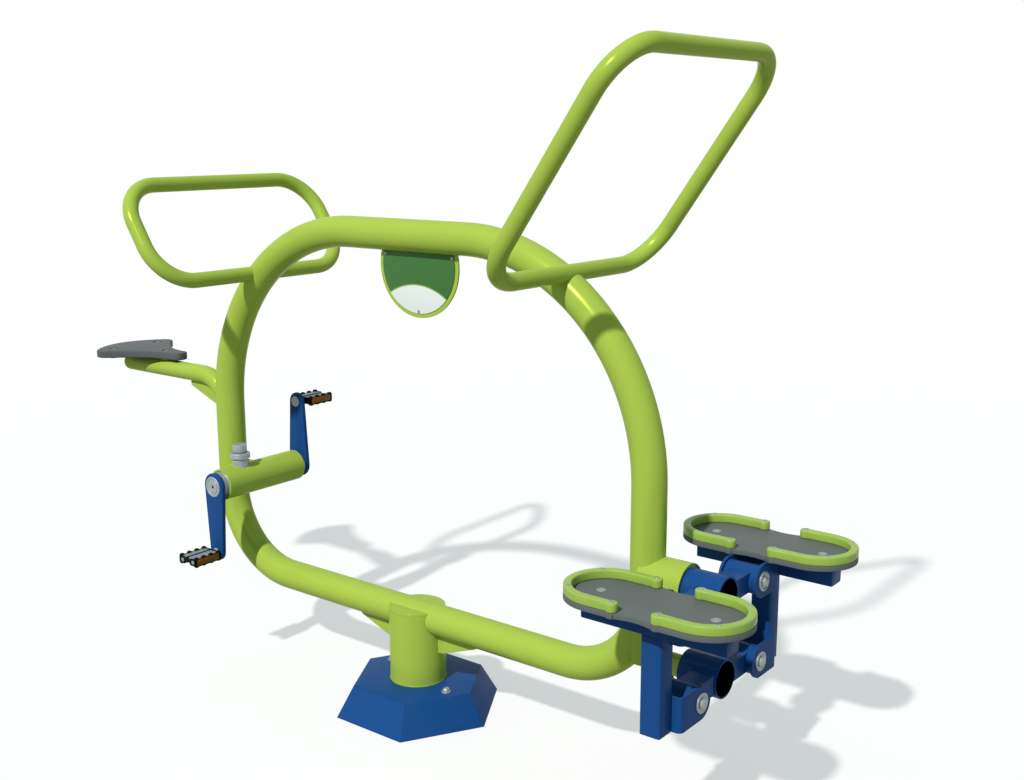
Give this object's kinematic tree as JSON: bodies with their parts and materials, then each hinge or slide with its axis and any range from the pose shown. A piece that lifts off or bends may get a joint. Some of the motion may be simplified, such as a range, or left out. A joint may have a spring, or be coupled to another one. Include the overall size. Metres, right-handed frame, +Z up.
{
  "type": "outdoor bike and stepper station",
  "caption": "Outdoor exercise station: seat, pedal crank and handle on the left of a bent tube loop, and a rocking stepper with a leaning handle on the right.",
  "frame": {"origin": "middle of the base flange's underside, on the ground below the base post", "axes": "+X along the frame from the seat to the stepper, +Y across to the rear side, +Z up"},
  "size_m": [2.1835, 0.6522, 1.5803],
  "materials": {
    "lime_paint": "semi-gloss lime green powder coat",
    "blue_paint": "semi-gloss dark blue powder coat",
    "grey_plastic": "matt grey sheet polyethylene",
    "lime_plastic": "satin lime green sheet polyethylene",
    "steel": "bright zinc plated and stainless steel",
    "black_plastic": "moulded black plastic",
    "amber_plastic": "clear amber reflector",
    "panel": "plain printed panel, dark green above and white below",
    "nylon": "turned bearing plastic"
  },
  "bodies": {
    "frame": {"base_flange": "lime_paint", "anchor_bolts": "steel", "base_cover": "blue_paint", "cover_nuts": "steel", "base_post": "lime_paint", "tube_caps": "lime_paint", "post_collar": "lime_paint", "gussets": "lime_paint", "bottom_rail": "lime_paint", "left_upright": "lime_paint", "upper_left_bend": "lime_paint", "right_upright": "lime_paint", "bike_handle": "lime_paint", "stepper_handle": "lime_paint", "seat_arm": "lime_paint", "seat_bracket": "lime_paint", "seat": "grey_plastic", "seat_bolts": "steel", "crank_housing": "lime_paint", "crank_bracket": "lime_paint", "crank_bearings": "steel", "bearing_covers": "steel", "adjuster_boss": "steel", "plaque_plate": "lime_paint", "plaque_panel": "panel", "plaque_screws": "steel", "upper_sleeve": "lime_paint", "upper_bushes": "nylon", "lower_stub": "lime_paint"},
    "crank": {"crank_spindle": "steel", "crank_arms": "blue_paint", "crank_caps": "steel", "pedal_axles": "steel"},
    "front_pedal": {"front_pedal_body": "black_plastic", "front_pedal_treads": "steel", "front_pedal_reflectors": "amber_plastic"},
    "rear_pedal": {"rear_pedal_body": "black_plastic", "rear_pedal_treads": "steel", "rear_pedal_reflectors": "amber_plastic"},
    "knob": {"adjuster_knob": "steel"},
    "upper_rocker": {"upper_hub": "blue_paint", "upper_arms": "blue_paint", "upper_pivot_bushes": "nylon", "upper_hub_plug": "black_plastic"},
    "lower_rocker": {"lower_hub": "blue_paint", "lower_arms": "blue_paint", "lower_bushes": "nylon", "lower_hub_plug": "black_plastic"},
    "front_step": {"front_post": "blue_paint", "front_beam": "blue_paint", "front_brackets": "blue_paint", "front_footplate": "grey_plastic", "front_curbs": "lime_plastic", "front_fasteners": "steel"},
    "rear_step": {"rear_post": "blue_paint", "rear_beam": "blue_paint", "rear_brackets": "blue_paint", "rear_footplate": "grey_plastic", "rear_curbs": "lime_plastic", "rear_fasteners": "steel"}
  },
  "joints": [
    {"name": "crank_spin", "type": "hinge", "parent": "frame", "child": "crank", "pos_m": [-0.572, 0, 0.498], "axis": [0, 1, 0], "continuous": true},
    {"name": "front_pedal_spin", "type": "hinge", "parent": "crank", "child": "front_pedal", "pos_m": [-0.572, -0.2, 0.321], "axis": [0, 1, 0], "continuous": true},
    {"name": "rear_pedal_spin", "type": "hinge", "parent": "crank", "child": "rear_pedal", "pos_m": [-0.572, 0.2, 0.675], "axis": [0, 1, 0], "continuous": true},
    {"name": "knob_turn", "type": "hinge", "parent": "frame", "child": "knob", "pos_m": [-0.572, -0.061, 0.57], "axis": [0, 0, 1], "range_deg": [-180, 180]},
    {"name": "upper_rock", "type": "hinge", "parent": "frame", "child": "upper_rocker", "pos_m": [0.8245, 0, 0.4835], "axis": [1, 0, 0], "range_deg": [-20, 20]},
    {"name": "lower_rock", "type": "hinge", "parent": "frame", "child": "lower_rocker", "pos_m": [0.8245, 0, 0.3045], "axis": [1, 0, 0], "range_deg": [-20, 20]},
    {"name": "front_step_pivot", "type": "hinge", "parent": "upper_rocker", "child": "front_step", "pos_m": [0.8245, -0.125, 0.4835], "axis": [1, 0, 0], "range_deg": [-20, 20]},
    {"name": "rear_step_pivot", "type": "hinge", "parent": "upper_rocker", "child": "rear_step", "pos_m": [0.8245, 0.125, 0.4835], "axis": [1, 0, 0], "range_deg": [-20, 20]}
  ],
  "couplings": [
    {"joint": "lower_rock", "follows": "upper_rock", "ratio": 1},
    {"joint": "front_step_pivot", "follows": "upper_rock", "ratio": -1},
    {"joint": "rear_step_pivot", "follows": "upper_rock", "ratio": -1}
  ]
}
